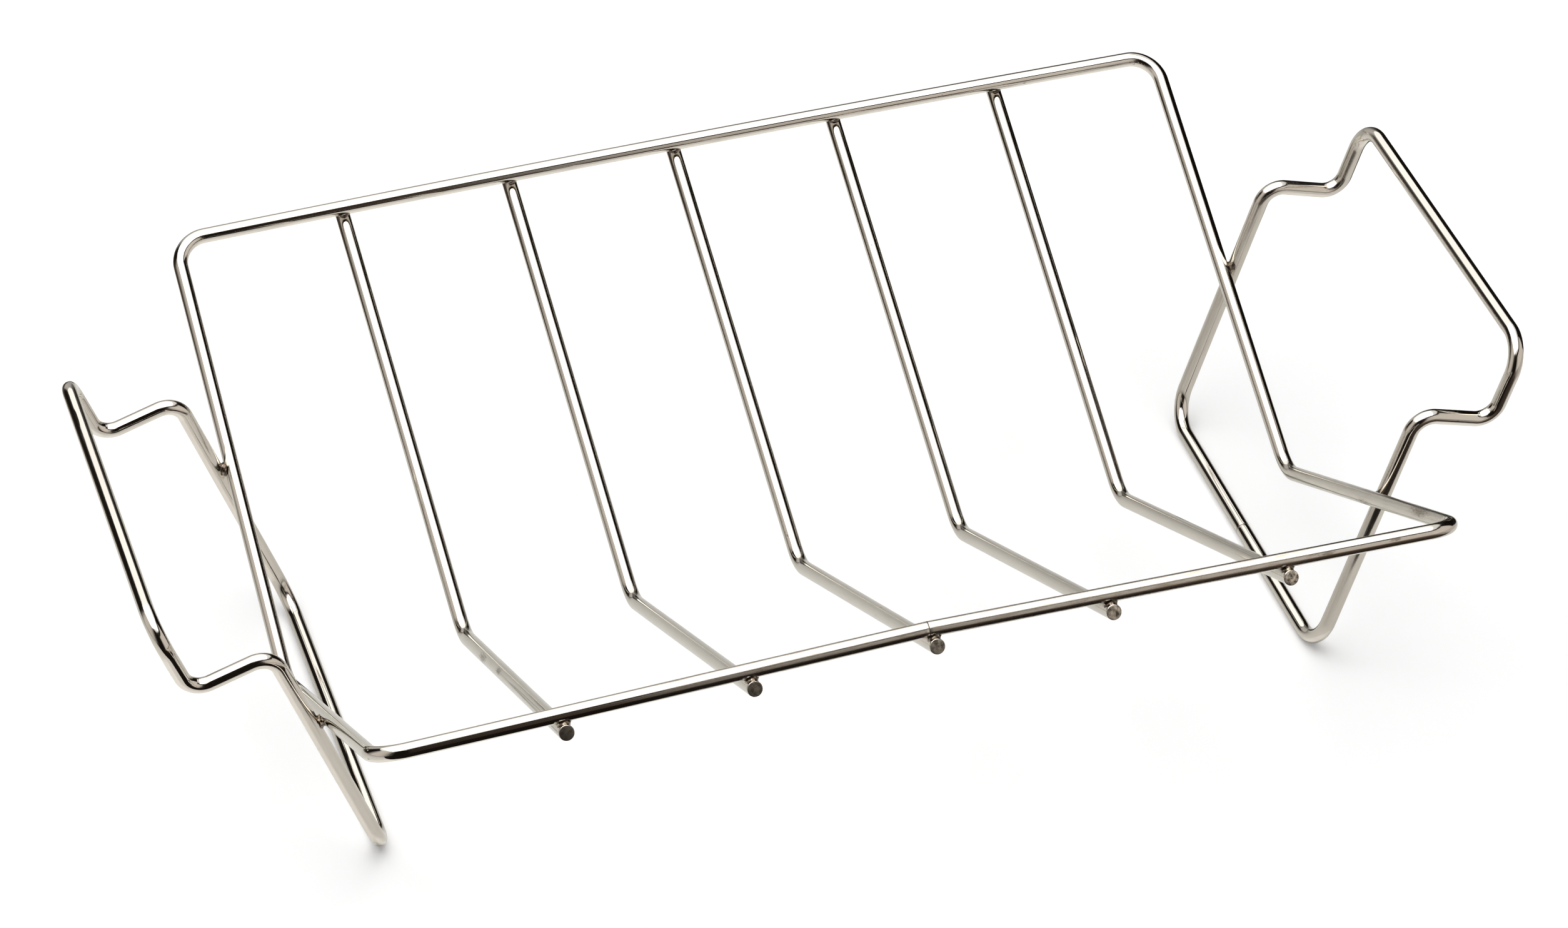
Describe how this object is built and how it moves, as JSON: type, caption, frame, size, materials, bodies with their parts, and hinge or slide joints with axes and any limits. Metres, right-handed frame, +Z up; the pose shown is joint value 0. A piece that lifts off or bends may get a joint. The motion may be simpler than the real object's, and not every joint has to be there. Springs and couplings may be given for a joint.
{
  "type": "roasting basket",
  "caption": "V-shaped wire basket that holds a roast above a tin, on bent wire end frames whose raised outer tops are the lifting handles.",
  "frame": {"origin": "on the ground, under the middle of the basket", "axes": "+X along the rails to the right end frame, +Y to the back rail, +Z up"},
  "size_m": [0.4572, 0.2847, 0.1153],
  "materials": {
    "basket_frame": "bright drawn stainless wire, mirror-like, brown at the welds",
    "cross_wire_1": "bright drawn stainless wire, mirror-like, brown at the welds",
    "cross_wire_2": "bright drawn stainless wire, mirror-like, brown at the welds",
    "cross_wire_3": "bright drawn stainless wire, mirror-like, brown at the welds",
    "cross_wire_4": "bright drawn stainless wire, mirror-like, brown at the welds",
    "cross_wire_5": "bright drawn stainless wire, mirror-like, brown at the welds",
    "right_end_frame": "bright drawn stainless wire, mirror-like, brown at the welds",
    "left_end_frame": "bright drawn stainless wire, mirror-like, brown at the welds"
  },
  "bodies": {
    "root": {"basket_frame": "basket_frame", "cross_wire_1": "cross_wire_1", "cross_wire_2": "cross_wire_2", "cross_wire_3": "cross_wire_3", "cross_wire_4": "cross_wire_4", "cross_wire_5": "cross_wire_5", "right_end_frame": "right_end_frame", "left_end_frame": "left_end_frame"}
  },
  "joints": []
}
